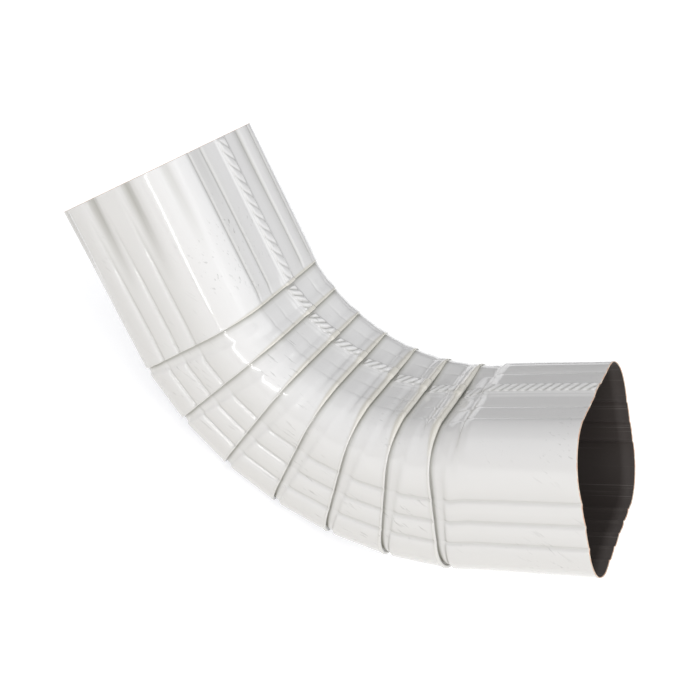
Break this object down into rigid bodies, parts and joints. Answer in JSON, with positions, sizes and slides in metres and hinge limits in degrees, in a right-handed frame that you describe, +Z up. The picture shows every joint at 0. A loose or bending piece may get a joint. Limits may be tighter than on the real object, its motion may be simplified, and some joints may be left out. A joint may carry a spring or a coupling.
{
  "type": "downspout elbow",
  "caption": "Rectangular fluted downspout elbow folded from coated sheet, bent by a row of Z-folded pleats, with a lock seam along the throat, a plain end and a crimped end.",
  "frame": {"origin": "under the middle of the elbow's box, on the surface that it stands on", "axes": "+Z up, +X towards the plain end and -X towards the crimped end, +Y across the heel and throat faces, along the axis of the bend"},
  "size_m": [0.3324, 0.109, 0.154],
  "materials": {
    "coated_sheet": "gloss white outside, dark brown inside"
  },
  "bodies": {
    "root": {"elbow": "coated_sheet"}
  },
  "joints": []
}
